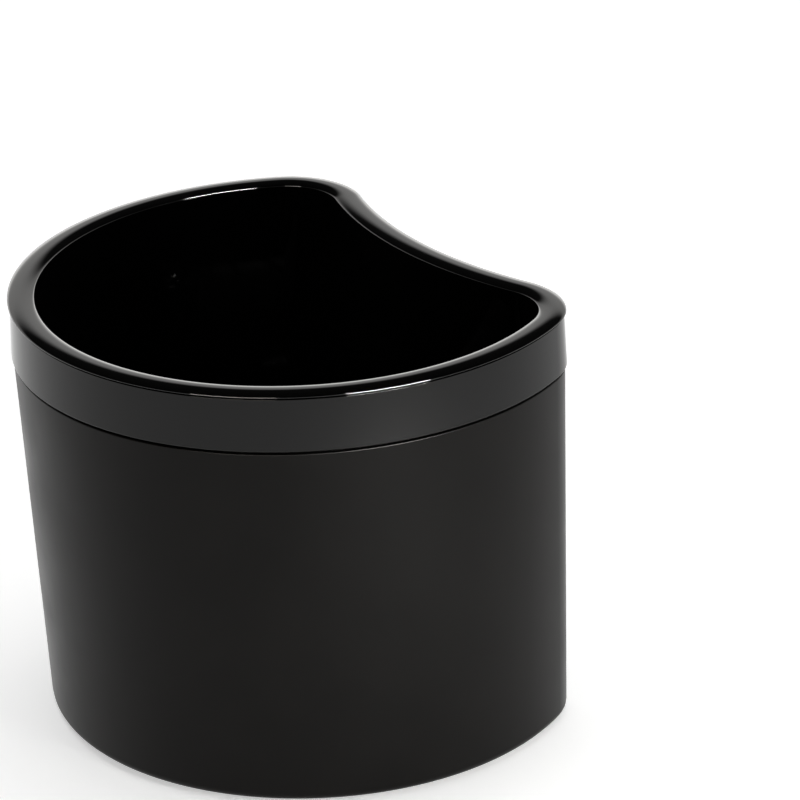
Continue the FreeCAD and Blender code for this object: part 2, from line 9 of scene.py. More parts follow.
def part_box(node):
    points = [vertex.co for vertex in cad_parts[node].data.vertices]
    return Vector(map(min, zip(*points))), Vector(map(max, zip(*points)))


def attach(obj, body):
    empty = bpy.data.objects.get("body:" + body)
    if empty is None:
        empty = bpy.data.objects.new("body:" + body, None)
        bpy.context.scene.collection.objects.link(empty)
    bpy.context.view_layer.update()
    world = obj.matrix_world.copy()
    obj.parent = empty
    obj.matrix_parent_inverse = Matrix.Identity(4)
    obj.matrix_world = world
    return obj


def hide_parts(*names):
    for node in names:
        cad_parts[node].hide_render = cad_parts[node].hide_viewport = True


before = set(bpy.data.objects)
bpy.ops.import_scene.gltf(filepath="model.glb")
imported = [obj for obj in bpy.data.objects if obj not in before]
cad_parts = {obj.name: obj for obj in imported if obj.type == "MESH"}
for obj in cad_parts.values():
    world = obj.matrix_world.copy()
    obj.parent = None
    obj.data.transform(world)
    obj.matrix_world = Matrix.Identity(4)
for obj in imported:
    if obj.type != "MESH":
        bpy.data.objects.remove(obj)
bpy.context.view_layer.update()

# Looks of the knock box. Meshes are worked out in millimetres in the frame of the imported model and
# turned into metres when they are finished. The outline is a circle with a concave notch towards +Y.

MM = 0.001
SLIVER = 0.000001                            # metres, edges a boolean leaves that are welded away
FULL_TURN = 2 * math.pi


def mm_box(node):
    """The lowest and highest corners of a CAD node, in millimetres."""
    low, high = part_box(node)
    return low / MM, high / MM


bucket_low, bucket_high = mm_box("inner_bucket")
band_low, band_high = mm_box("rim_band")
shell_low, shell_high = mm_box("outer_shell")
seal_low, seal_high = mm_box("rim_seal")
plate_low, plate_high = mm_box("ballast_plate")
pad_low, pad_high = mm_box("base_pad")
sleeve_low, sleeve_high = mm_box("bar_sleeve")

# The outline at the rim and at the base: round wall, horns, and the notch between them.
Outline = namedtuple("Outline", "radius reach corner shift")
NOTCH_RADIUS = 115.8
RIM = Outline(radius=-bucket_low.y, reach=37.1, corner=20.7, shift=0.0)
BASE = Outline(radius=67.2, reach=36.5, corner=18.5, shift=1.1)
WALL_STEPS, HORN_STEPS, NOTCH_STEPS = 176, 34, 68
ROUND_STEPS = 5

# Rim band and lip.
LIP_WIDTH = 6.6
LIP_THICKNESS = 1.2
LIP_FALL = 0.85
LIP_REACH = 3.3
LIP_STEPS = 14
LIP_UNDERCUT = 0.45
BAND_DRAFT = 0.5
BAND_WALL = 1.5
BAND_FLANGE = 1.2
FLANGE_INNER = 3.4
SEAL_INSETS = (1.7, 2.9)
SEAL_DEPTH = 0.5
SEAL_GAP = 0.05
SNAP_RISE, SNAP_TOP = 3.2, 4.8
SNAP_PROUD = 0.35
SNAP_LIFT, SNAP_CREST, SNAP_LENGTH = 0.2, 0.5, 1.2      # the bead on the shell's spigot

# Outer shell.
SHELL_SETBACK = 0.5
SHELL_WALL = 2.6
SHELL_ROUND = 2.2
SHELL_FLOOR = 2.8
SHADOW_GROOVE = 0.8
SPIGOT_INSETS = (1.7, 3.1)
RECESS_INSET = 6.0
RECESS_FIT = 0.3
BOSS_RADIUS, BOSS_HEIGHT = 4.5, 3.4
BOSS_FILLET = 0.8
INSERT_RADIUS, INSERT_LENGTH = 2.33, 5.03
DAMPER_SEAT, DAMPER_FIT = 0.8, 0.1
SEAT_CHAMFER = 0.2
FLOOR_LAND = 3.0                             # how far a floor's outer ring lies from the wall's foot

# Rubber pad: ribs round the edge, dimples in the middle.
RIB_COUNT, RIB_PITCH, RIB_DEPTH = 3, 2.4, 0.6
RIB_FLANK, RIB_FLOOR = 0.3, 0.6
PAD_LAND = 10.2
DIMPLE_PITCH, DIMPLE_RADIUS, DIMPLE_CLEAR = 7.0, 2.0, 0.8
DIMPLE_ROWS = 8
HORN_SHARE = 0.62

# Inner bucket.
BUCKET_INSETS = (5.5, 7.7)
BUCKET_NECK = 4.4
BUCKET_FLOOR = 2.2
BUCKET_ROUND, BUCKET_INNER_ROUND = 4.5, 4.0
TOWER_SIDE = 3.1
TOWER_ROOT = 1.3
TOWER_ROUND = 0.45
LINER_FIT = 0.05
LINER_WALL = 1.5
BUCKET_LAND = 7.0

# Screws: head radius and height, shank radius, and the length of the bar's screws.
SCREW_HEAD, SCREW_HEAD_HEIGHT, SCREW_SHANK = 2.8, 1.6, 1.4
BAR_SCREW_LENGTH = 8.0
THREAD_PITCH, THREAD_DEPTH = 0.6, 0.16

# Bar.
GRIP_COUNT, GRIP_WIDTH, GRIP_DEPTH, GRIP_MARGIN = 9, 1.6, 0.7, 6.0
GRIP_FLANK = 0.2
SLEEVE_ROUND, SLEEVE_FIT = 1.5, 0.03
COLLAR_WIDTH, COLLAR_ROUND = 2.5, 0.5
TONGUE_HALF, TONGUE_DROP, TONGUE_RISE, TONGUE_ROOT = 5.0, 6.0, 5.5, 0.8
SOCKET_RADIUS, SOCKET_DEPTH = 4.03, 1.2
COUNTERBORE_RADIUS, COUNTERBORE_DEPTH, SCREW_HOLE = 2.9, 2.2, 1.45


# Turns that put a flat section upright, with its depth along X or along Y.
ALONG_X = Matrix(((0, 0, 1), (1, 0, 0), (0, 1, 0)))
ALONG_Y = Matrix(((1, 0, 0), (0, 0, 1), (0, 1, 0)))


# ---------------------------------------------------------------- outlines and sections

def arc(centre, radius, start, end, steps):
    """Points along an arc, from its start up to the point before its end."""
    angles = [start + (end - start) * step / steps for step in range(steps)]
    return [centre + radius * Vector((math.cos(angle), math.sin(angle))) for angle in angles]


def outline(family, inset):
    """The crescent at an inset, counter-clockwise from the left end of the round wall."""
    radius = family.radius - inset
    corner = family.corner - inset
    notch = NOTCH_RADIUS + inset
    hub = Vector((0, family.shift))
    pivot = Vector((0, family.reach + NOTCH_RADIUS))
    span = pivot.y - hub.y
    along = ((radius - corner) ** 2 - (notch + corner) ** 2 + span ** 2) / (2 * span)
    across = math.sqrt((radius - corner) ** 2 - along ** 2)
    right, left = hub + Vector((across, along)), hub + Vector((-across, along))
    wall_end = math.atan2(along, across)
    notch_end = math.atan2(right.y - pivot.y, across)
    points = arc(hub, radius, -math.pi - wall_end, wall_end, WALL_STEPS)
    points += arc(right, corner, wall_end, math.pi + notch_end, HORN_STEPS)
    points += arc(pivot, notch, notch_end, -math.pi - notch_end, NOTCH_STEPS)
    points += arc(left, corner, -notch_end, math.pi - wall_end, HORN_STEPS)
    return points


def taper(low, high):
    """A share that runs from 0, the base outline, to 1, the rim outline, between two heights."""
    return lambda height: min(1.0, max(0.0, (height - low) / (high - low)))


def at_rim(height):
    """The share of a wall that follows the rim outline all the way down."""
    return 1.0


def at_base(height):
    """The share of a wall that follows the base outline all the way up."""
    return 0.0


def rounded(corners, closed):
    """A section's corners with their roundings: (inset, height) points, each with its taper."""
    stations = []
    for index, (inset, height, radius, share) in enumerate(corners):
        point = Vector((inset, height))
        if radius == 0 or not closed and index in (0, len(corners) - 1):
            stations.append((point, share))
            continue
        before = (Vector(corners[index - 1][:2]) - point).normalized()
        after = (Vector(corners[(index + 1) % len(corners)][:2]) - point).normalized()
        half = before.angle(after) / 2
        centre = point + (before + after).normalized() * radius / math.sin(half)
        start = point + before * radius / math.tan(half) - centre
        end = point + after * radius / math.tan(half) - centre
        sweep = math.atan2(start.x * end.y - start.y * end.x, start.dot(end))
        for step in range(ROUND_STEPS + 1):
            turned = Matrix.Rotation(sweep * step / ROUND_STEPS, 2) @ start
            stations.append((centre + turned, share))
    return stations


def along_wall(start, end, count):
    """Extra stations between two points of a long wall, without its ends."""
    steps = [step / (count + 1) for step in range(1, count + 1)]
    return [(start[0] + (end[0] - start[0]) * step, start[1] + (end[1] - start[1]) * step, 0, start[3])
            for step in steps]


# ---------------------------------------------------------------- meshes

def ring_of(mesh, points, height):
    """One closed ring of vertices."""
    return [mesh.verts.new((point[0], point[1], height)) for point in points]


def bridge(mesh, lower, upper):
    """Quads between two rings that have the same number of vertices."""
    count = len(lower)
    for index in range(count):
        following = (index + 1) % count
        mesh.faces.new((lower[index], lower[following], upper[following], upper[index]))


def edges_of(mesh, ring):
    """The edges round a ring, made where they are missing."""
    pairs = zip(ring, ring[1:] + ring[:1])
    return [mesh.edges.get(pair) or mesh.edges.new(pair) for pair in pairs]


def fill(mesh, rings):
    """A flat cap inside the first ring, with the other rings left as holes."""
    edges = [edge for ring in rings for edge in edges_of(mesh, ring)]
    bmesh.ops.triangle_fill(mesh, edges=edges, use_beauty=True)


def loft(mesh, stations, closed):
    """Rings of the crescent through a section. Returns them in order."""
    rings = []
    for point, share in stations:
        mix = share(point.y)
        base, rim = outline(BASE, point.x), outline(RIM, point.x)
        rings.append(ring_of(mesh, [a.lerp(b, mix) for a, b in zip(base, rim)], point.y))
    for lower, upper in zip(rings, rings[1:]):
        bridge(mesh, lower, upper)
    if closed:
        bridge(mesh, rings[-1], rings[0])
    return rings


def circle(centre, radius, steps=40):
    """Points round a circle."""
    return arc(Vector(centre), radius, 0, FULL_TURN, steps)


def hexagon(centre, radius, steps=40):
    """Points round a hexagon, at the angles of a circle's points."""
    points = []
    for spot in circle((0, 0), 1.0, steps):
        angle = math.atan2(spot.y, spot.x) % (math.pi / 3) - math.pi / 6
        points.append(Vector(centre) + spot * radius * math.cos(math.pi / 6) / math.cos(angle))
    return points


def stack(mesh, ring, centre, levels, steps=40):
    """Continue a round ring through more (radius, height) levels and close it with a disc."""
    for radius, height in levels:
        following = ring_of(mesh, circle(centre, radius, steps), height)
        bridge(mesh, ring, following)
        ring = following
    mesh.faces.new(ring)


def turned(mesh, centre, levels, steps=64, closed=False):
    """A turned shape through (radius, height) levels. Returns its rings."""
    rings = [ring_of(mesh, circle(centre, radius, steps), height) for radius, height in levels]
    for lower, upper in zip(rings, rings[1:]):
        bridge(mesh, lower, upper)
    if closed:
        bridge(mesh, rings[-1], rings[0])
    return rings


def cap_ends(mesh, rings):
    """Discs over the first and the last ring of a turned shape."""
    mesh.faces.new(rings[0])
    mesh.faces.new(rings[-1])


def profile(corners):
    """Levels of a turned shape, each corner (radius, height, rounding)."""
    section = [(radius, height, rounding, None) for radius, height, rounding in corners]
    return [tuple(point) for point, _ in rounded(section, False)]


def prism(mesh, outline_points, start, end, axis_turn):
    """A solid with a polygon for its section, from one depth to another, turned into place."""
    lower = [mesh.verts.new(axis_turn @ Vector((x, y, start))) for x, y in outline_points]
    upper = [mesh.verts.new(axis_turn @ Vector((x, y, end))) for x, y in outline_points]
    bridge(mesh, lower, upper)
    mesh.faces.new(lower)
    mesh.faces.new(upper)


def soften(mesh, width, segments=3, steepest=0.5):
    """Round every edge that turns more sharply than the given angle in radians."""
    bmesh.ops.recalc_face_normals(mesh, faces=mesh.faces)
    sharp = [edge for edge in mesh.edges if edge.is_manifold and edge.calc_face_angle() > steepest]
    bmesh.ops.bevel(mesh, geom=sharp, offset=width, segments=segments, profile=0.5, affect="EDGES",
                    clamp_overlap=True)


def finished(mesh, name, turn=None):
    """Turn a mesh in millimetres into a smooth-shaded object in metres."""
    bmesh.ops.recalc_face_normals(mesh, faces=mesh.faces)
    bmesh.ops.transform(mesh, matrix=Matrix.Scale(MM, 4) @ (turn or Matrix()), verts=mesh.verts)
    data = bpy.data.meshes.new(name)
    mesh.to_mesh(data)
    mesh.free()
    data.shade_smooth()
    made = bpy.data.objects.new(name, data)
    bpy.context.scene.collection.objects.link(made)
    return made


def combine(piece, tool, operation):
    """Join a tool to a piece, or cut it out, close up the slivers this leaves, and remove the tool."""
    step = piece.modifiers.new(operation.lower(), "BOOLEAN")
    step.operation = operation
    step.object = tool
    step.solver = "EXACT"
    bpy.context.view_layer.update()
    evaluated = piece.evaluated_get(bpy.context.evaluated_depsgraph_get())
    data = bpy.data.meshes.new_from_object(evaluated)
    mesh = bmesh.new()
    mesh.from_mesh(data)
    bmesh.ops.dissolve_degenerate(mesh, dist=SLIVER, edges=mesh.edges)
    mesh.to_mesh(data)
    mesh.free()
    piece.modifiers.clear()
    piece.data = data
    bpy.data.objects.remove(tool)


def even_shading(piece):
    """Let large faces decide the shading, so that flats stay flat beside their rounded edges."""
    step = piece.modifiers.new("even_shading", "WEIGHTED_NORMAL")
    step.keep_sharp = True


def make_piece(piece, body, slot, material, *nodes):
    """Give a piece its material and body, and let it stand for its CAD nodes. The slot is not used."""
    piece.data.materials.clear()
    piece.data.materials.append(material)
    even_shading(piece)
    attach(piece, body)
    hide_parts(*nodes)
    return piece


# ---------------------------------------------------------------- materials

def new_material(name):
    """An empty node material with its shader. Returns both, and a function that adds a node."""
    material = bpy.data.materials.new(name)
    material.use_nodes = True
    tree = material.node_tree
    shader = tree.nodes["Principled BSDF"]

    def add(kind, inputs=None, **settings):
        node = tree.nodes.new(kind)
        for key, value in settings.items():
            setattr(node, key, value)
        for key, value in (inputs or {}).items():
            if isinstance(value, bpy.types.NodeSocket):
                tree.links.new(value, node.inputs[key])
            else:
                node.inputs[key].default_value = value
        return node

    return material, shader, add


def rgb(value, warmth=0.0):
    """A neutral colour, a little warm if asked."""
    return (value * (1 + warmth), value, value * (1 - warmth), 1.0)


def plastic(name, dark, light, roughness, mottle, grain, specular=0.5, metallic=0.0, brushed=None):
    """A moulded, turned or rubber surface.

    dark and light are the colours it varies between, roughness its lowest and highest value, mottle
    the size of the slow variation, and grain the size and depth of the surface texture, in metres.
    """
    material, shader, add = new_material(name)
    link = material.node_tree.links.new
    place = add("ShaderNodeTexCoord").outputs["Object"]
    if brushed:
        place = add("ShaderNodeMapping", {"Vector": place, "Scale": brushed}).outputs["Vector"]
    slow = add("ShaderNodeTexNoise", {"Vector": place, "Scale": 1 / mottle, "Detail": 4.0})
    fine = add("ShaderNodeTexNoise", {"Vector": place, "Scale": 1 / grain[0], "Detail": 3.0})
    tint = add("ShaderNodeMix", {"Factor": slow.outputs["Fac"]}, data_type="RGBA")
    tint.inputs[6].default_value = dark
    tint.inputs[7].default_value = light
    link(tint.outputs[2], shader.inputs["Base Color"])
    rough = add("ShaderNodeMapRange", {
        "Value": slow.outputs["Fac"], "From Min": 0.35, "From Max": 0.65,
        "To Min": roughness[0], "To Max": roughness[1]})
    link(rough.outputs["Result"], shader.inputs["Roughness"])
    bump = add("ShaderNodeBump", {"Height": fine.outputs["Fac"], "Strength": 1.0, "Distance": grain[1]})
    link(bump.outputs["Normal"], shader.inputs["Normal"])
    shader.inputs["Specular IOR Level"].default_value = specular
    shader.inputs["Metallic"].default_value = metallic
    return material


SATIN = plastic("satin_black", rgb(0.0032, 0.12), rgb(0.0046, 0.14), (0.30, 0.36), 0.018,
                (0.00035, 0.0000035), specular=0.095)
GLOSS = plastic("gloss_black", rgb(0.0012), rgb(0.0022), (0.035, 0.06), 0.025,
                (0.004, 0.0000022), specular=0.25)
BUCKET_GLOSS = plastic("bucket_gloss_black", rgb(0.0008), rgb(0.0016), (0.04, 0.075), 0.02,
                       (0.004, 0.0000020), specular=0.42)
SLEEVE_RUBBER = plastic("sleeve_rubber", rgb(0.008), rgb(0.016), (0.62, 0.78), 0.006,
                        (0.0004, 0.00002), specular=0.3)
PAD_RUBBER = plastic("pad_rubber", rgb(0.014), rgb(0.028), (0.68, 0.85), 0.005,
                     (0.0005, 0.00003), specular=0.3)
SEAL_RUBBER = plastic("seal_rubber", rgb(0.006), rgb(0.012), (0.55, 0.7), 0.004,
                      (0.0003, 0.00001), specular=0.3)
END_PLASTIC = plastic("end_nylon", rgb(0.010), rgb(0.018), (0.42, 0.52), 0.004,
                      (0.0003, 0.00001), specular=0.45)
STEEL = plastic("turned_steel", rgb(0.46, 0.01), rgb(0.62, 0.01), (0.22, 0.36), 0.004,
                (0.0004, 0.000006), metallic=1.0, brushed=(1.0, 0.05, 1.0))
ZINC = plastic("zinc_plate", rgb(0.38, -0.01), rgb(0.55, -0.01), (0.3, 0.48), 0.006,
               (0.0006, 0.00001), metallic=1.0)
BRASS = plastic("brass", (0.55, 0.36, 0.12, 1), (0.70, 0.48, 0.18, 1), (0.22, 0.34), 0.003,
                (0.0004, 0.000008), metallic=1.0)

# ---------------------------------------------------------------- pieces of the shell


def spots_of(node, radius):
    """The four centres of a group that stands on the base's diagonals, from the group's box."""
    low, high = mm_box(node)
    return [(x, y) for x in (low.x + radius, high.x - radius) for y in (low.y + radius, high.y - radius)]


def centre_of(node):
    """The centre of a node's box."""
    low, high = mm_box(node)
    return (low + high) / 2


def radius_of(node):
    """Half the width of a node's box."""
    low, high = mm_box(node)
    return (high.x - low.x) / 2


BOSS_SPOTS = spots_of("ballast_screws", SCREW_HEAD)
DAMPER_NODES = ("damper_front", "damper_rear", "damper_left", "damper_right")
SHELL_FOOT = shell_low.z
SHELL_SHOULDER = band_low.z - SHADOW_GROOVE
SPIGOT_TOP = shell_high.z
INNER_FLOOR = plate_high.z + SHELL_FLOOR


def make_shell():
    """The satin tub: rounded foot, tapered wall, shoulder, spigot, floor, bosses and the base recess."""
    outer = taper(SHELL_FOOT + SHELL_ROUND, SHELL_SHOULDER)
    inner = taper(INNER_FLOOR, SPIGOT_TOP)
    snap = band_low.z + SNAP_RISE + SNAP_LIFT
    wall_foot = (0.0, SHELL_FOOT, SHELL_ROUND, outer)
    wall_top = (SHELL_SETBACK, SHELL_SHOULDER, 0.3, outer)
    cavity_top = (SPIGOT_INSETS[1], SPIGOT_TOP, 0.3, at_rim)
    cavity_foot = (SHELL_WALL, INNER_FLOOR, 1.2, inner)
    section = [
        (RECESS_INSET, plate_high.z, 0.0, at_base), (RECESS_INSET, SHELL_FOOT, 0.3, at_base), wall_foot,
    ]
    section += along_wall(wall_foot, wall_top, 9)
    section += [
        wall_top,
        (SPIGOT_INSETS[0], SHELL_SHOULDER, 0.15, at_rim),
        (SPIGOT_INSETS[0], snap, 0.1, at_rim),
        (SPIGOT_INSETS[0] - SNAP_PROUD, snap + SNAP_PROUD, 0.1, at_rim),
        (SPIGOT_INSETS[0] - SNAP_PROUD, snap + SNAP_PROUD + SNAP_CREST, 0.1, at_rim),
        (SPIGOT_INSETS[0], snap + SNAP_LENGTH, 0.1, at_rim),
        (SPIGOT_INSETS[0], SPIGOT_TOP, 0.3, at_rim),
        cavity_top,
    ]
    section += along_wall(cavity_top[:3] + (inner,), cavity_foot, 9)
    section += [cavity_foot, (SHELL_WALL + FLOOR_LAND, INNER_FLOOR, 0.0, at_base)]
    mesh = bmesh.new()
    rings = loft(mesh, rounded(section, False), False)

    floor_rings, ceiling_rings = [rings[-1]], [rings[0]]
    for spot in BOSS_SPOTS:
        foot = ring_of(mesh, circle(spot, BOSS_RADIUS + BOSS_FILLET), INNER_FLOOR)
        floor_rings.append(foot)
        top = INNER_FLOOR + BOSS_HEIGHT
        stack(mesh, foot, spot, [
            (BOSS_RADIUS + 0.25, INNER_FLOOR + 0.25), (BOSS_RADIUS, INNER_FLOOR + BOSS_FILLET),
            (BOSS_RADIUS, top - 0.5), (BOSS_RADIUS - 0.15, top - 0.15), (BOSS_RADIUS - 0.5, top)])
        mouth = ring_of(mesh, circle(spot, INSERT_RADIUS), plate_high.z)
        ceiling_rings.append(mouth)
        stack(mesh, mouth, spot, [(INSERT_RADIUS, plate_high.z + INSERT_LENGTH)])
    for node in DAMPER_NODES:
        spot = centre_of(node).xy
        seat = radius_of(node) + DAMPER_FIT
        mouth = ring_of(mesh, circle(spot, seat + SEAT_CHAMFER), INNER_FLOOR)
        floor_rings.append(mouth)
        stack(mesh, mouth, spot, [
            (seat, INNER_FLOOR - SEAT_CHAMFER), (seat, INNER_FLOOR - DAMPER_SEAT)])
    fill(mesh, floor_rings)
    fill(mesh, ceiling_rings)
    return make_piece(finished(mesh, "shell_tub"), "shell", "shell_satin", SATIN, "outer_shell")


def make_band():
    """The gloss collar: flared skirt, flange with the seal's groove, and the snap groove inside."""
    foot, top = band_low.z, band_high.z
    flange = top - BAND_FLANGE
    section = [(0.0, foot, 0.3, at_rim)]
    skirt_top = (BAND_DRAFT, top, 0.08, at_rim)
    section += along_wall(section[0], skirt_top, 3)
    section += [
        skirt_top,
        (SEAL_INSETS[0], top, 0.08, at_rim),
        (SEAL_INSETS[0], top - SEAL_DEPTH, 0.0, at_rim),
        (SEAL_INSETS[1], top - SEAL_DEPTH, 0.0, at_rim),
        (SEAL_INSETS[1], top, 0.08, at_rim),
        (FLANGE_INNER, top, 0.12, at_rim),
        (FLANGE_INNER, flange, 0.12, at_rim),
        (BAND_WALL, flange, 0.2, at_rim),
        (BAND_WALL, foot + SNAP_TOP, 0.05, at_rim),
        (BAND_WALL - SNAP_PROUD, foot + SNAP_TOP - SNAP_PROUD, 0.05, at_rim),
        (BAND_WALL - SNAP_PROUD, foot + SNAP_RISE + SNAP_PROUD, 0.05, at_rim),
        (BAND_WALL, foot + SNAP_RISE, 0.05, at_rim),
        (BAND_WALL, foot, 0.25, at_rim),
    ]
    mesh = bmesh.new()
    loft(mesh, rounded(section, True), True)
    return make_piece(finished(mesh, "gloss_collar"), "shell", "band_gloss", GLOSS, "rim_band")


def make_seal():
    """The rubber ring in the flange, with a rounded crest that the lip rests on."""
    outer, inner = SEAL_INSETS[0] + SEAL_GAP, SEAL_INSETS[1] - SEAL_GAP
    section = [
        (outer, seal_low.z, 0.05, at_rim), (outer, seal_high.z, 0.3, at_rim),
        (inner, seal_high.z, 0.3, at_rim), (inner, seal_low.z, 0.05, at_rim),
    ]
    mesh = bmesh.new()
    loft(mesh, rounded(section, True), True)
    return make_piece(finished(mesh, "seal_ring"), "shell", "seal_rubber", SEAL_RUBBER, "rim_seal")


def make_pad():
    """The non-slip rubber sheet, ribbed round its edge and dimpled in the middle of its underside."""
    edge = RECESS_INSET + RECESS_FIT
    section = [(edge + 1.0, pad_high.z, 0.0, at_base), (edge, pad_high.z, 0.2, at_base),
               (edge, pad_low.z, 0.5, at_base)]
    for rib in range(RIB_COUNT):
        start = edge + RIB_PITCH + RIB_PITCH * rib
        down = start + RIB_FLANK + RIB_FLOOR
        section += [
            (start, pad_low.z, 0.1, at_base), (start + RIB_FLANK, pad_low.z + RIB_DEPTH, 0.1, at_base),
            (down, pad_low.z + RIB_DEPTH, 0.1, at_base), (down + RIB_FLANK, pad_low.z, 0.1, at_base),
        ]
    section.append((edge + PAD_LAND, pad_low.z, 0.0, at_base))
    mesh = bmesh.new()
    rings = loft(mesh, rounded(section, False), False)
    under = [rings[-1]]
    margin = edge + PAD_LAND + DIMPLE_RADIUS + DIMPLE_CLEAR
    clear, notch_clear = BASE.radius - margin, NOTCH_RADIUS + margin
    pivot = Vector((0, BASE.reach + NOTCH_RADIUS))
    horn_clear = BASE.radius * HORN_SHARE
    places = range(-DIMPLE_ROWS, DIMPLE_ROWS + 1)
    for row in places:
        for column in places:
            spot = Vector((column + 0.5 * (row % 2), row * math.sqrt(0.75))) * DIMPLE_PITCH
            inside_wall = (spot - Vector((0, BASE.shift))).length < clear
            inside_notch = (spot - pivot).length > notch_clear
            inside_horns = spot.y < 0 or abs(spot.x) < horn_clear
            if inside_wall and inside_notch and inside_horns:
                ring = ring_of(mesh, circle(spot, DIMPLE_RADIUS, 20), pad_low.z)
                under.append(ring)
                stack(mesh, ring, spot, [
                    (DIMPLE_RADIUS - narrower, pad_low.z + deeper)
                    for narrower, deeper in ((0.15, 0.12), (0.35, 0.55), (0.8, 0.7))], 20)
    fill(mesh, under)
    fill(mesh, [rings[0]])
    return make_piece(finished(mesh, "non_slip_pad"), "shell", "pad_rubber", PAD_RUBBER, "base_pad")


def make_damper(node):
    """A rubber buffer with a rounded rim and a hollowed crown."""
    low, high = mm_box(node)
    radius = radius_of(node)
    levels = profile([
        (0.6, low.z, 0), (radius, low.z, 0.3), (radius, high.z, 0.9), (radius - 2.2, high.z, 0.3),
        (radius - 3.0, high.z - 0.6, 0.3), (0.6, high.z - 0.6, 0)])
    mesh = bmesh.new()
    cap_ends(mesh, turned(mesh, centre_of(node).xy, levels))
    name = node.replace("damper", "buffer")
    return make_piece(finished(mesh, name), "shell", "pad_rubber", PAD_RUBBER, node)


def socket_screw(mesh, spot, seat, length, direction):
    """A screw whose head stands on its seat and whose threaded shank runs on from there.

    direction is 1 for a shank that runs up from the seat, and -1 for one that runs down.
    """
    top = seat - direction * SCREW_HEAD_HEIGHT
    levels = profile([
        (SCREW_HEAD * 0.62, top, 0), (SCREW_HEAD, top, 0.35), (SCREW_HEAD, seat, 0.1),
        (SCREW_SHANK, seat, 0.1), (SCREW_SHANK, seat + direction * 0.4, 0)])
    for index in range(int((length - 1.0) / THREAD_PITCH)):
        at = seat + direction * (0.5 + THREAD_PITCH * index)
        levels += [(SCREW_SHANK, at), (SCREW_SHANK - THREAD_DEPTH, at + direction * THREAD_PITCH / 2)]
    tip = seat + direction * length
    levels += [(SCREW_SHANK - 0.05, tip - direction * 0.45), (SCREW_SHANK - 0.5, tip)]
    rings = turned(mesh, spot, levels, 40)
    mesh.faces.new(rings[-1])
    mouth = ring_of(mesh, hexagon(spot, SCREW_HEAD * 0.56), top)
    bridge(mesh, rings[0], mouth)
    bottom = ring_of(mesh, hexagon(spot, SCREW_HEAD * 0.54), top + direction * SCREW_HEAD_HEIGHT * 0.6)
    bridge(mesh, mouth, bottom)
    mesh.faces.new(bottom)


def make_ballast_screws():
    """Four socket screws under the ballast plate."""
    low, high = mm_box("ballast_screws")
    seat = low.z + SCREW_HEAD_HEIGHT
    mesh = bmesh.new()
    for spot in BOSS_SPOTS:
        socket_screw(mesh, spot, seat, high.z - seat, 1)
    piece = finished(mesh, "plate_screws")
    return make_piece(piece, "shell", "steel", STEEL, "ballast_screws")


# ---------------------------------------------------------------- pieces of the bucket

BUCKET_FOOT = bucket_low.z
LIP_TOP = bucket_high.z
LIP_SEAT = LIP_TOP - LIP_THICKNESS
CAVITY_FLOOR = BUCKET_FOOT + BUCKET_FLOOR
OUTER_TAPER = taper(BUCKET_FOOT + BUCKET_ROUND, LIP_SEAT)
INNER_TAPER = taper(CAVITY_FLOOR + BUCKET_INNER_ROUND, LIP_TOP - LIP_FALL)


def lip_section():
    """The crowned lip, from its outer edge over its crest to its inner edge."""
    crest = []
    for step in range(2 * LIP_STEPS + 1):
        angle = math.pi * step / (2 * LIP_STEPS)
        inset = LIP_REACH * (1 - math.cos(angle))
        crest.append((inset, LIP_TOP - LIP_FALL * (1 - math.sin(angle)), 0.0, at_rim))
    return crest


def make_tower(side):
    """A tower that carries one end of the bar, with the open slot for its rubber channel."""
    low, high = mm_box(f"cradle_liner_{side}")
    slot_half = high.x + LINER_FIT
    tower_half = slot_half + TOWER_SIDE
    face = high.y if side == "front" else low.y
    depth = high.y - low.y + LINER_FIT
    sign = -1 if side == "front" else 1
    if side == "front":
        base_wall, rim_wall = BASE.radius - BASE.shift, RIM.radius
    else:
        base_wall, rim_wall = BASE.reach, RIM.reach
    foot = BUCKET_FOOT + BUCKET_FLOOR / 2
    low_wall = CAVITY_FLOOR + BUCKET_INNER_ROUND
    mix = INNER_TAPER(high.z)
    wall_low = base_wall - BUCKET_INSETS[1]
    wall_high = (1 - mix) * wall_low + mix * (rim_wall - LIP_WIDTH)
    section = [
        (face, foot), (face, high.z), (sign * (wall_high + TOWER_ROOT), high.z),
        (sign * (wall_low + TOWER_ROOT), low_wall), (sign * (wall_low - 1.2), foot),
    ]
    mesh = bmesh.new()
    prism(mesh, section, -tower_half, tower_half, ALONG_X)
    tower = finished(mesh, f"tower_{side}")
    cutter = bmesh.new()
    outside = face - sign * 5.0
    back, above = face + sign * depth, high.z + 5
    slot_section = [(back, low.z), (outside, low.z), (outside, above), (back, above)]
    prism(cutter, slot_section, -slot_half, slot_half, ALONG_X)
    combine(tower, finished(cutter, "slot_cutter"), "DIFFERENCE")
    mesh = bmesh.new()
    mesh.from_mesh(tower.data)
    bmesh.ops.scale(mesh, vec=(1 / MM, 1 / MM, 1 / MM), verts=mesh.verts)
    bmesh.ops.dissolve_limit(mesh, angle_limit=0.01, verts=mesh.verts, edges=mesh.edges)
    soften(mesh, TOWER_ROUND)
    bpy.data.objects.remove(tower)
    return finished(mesh, f"tower_{side}")


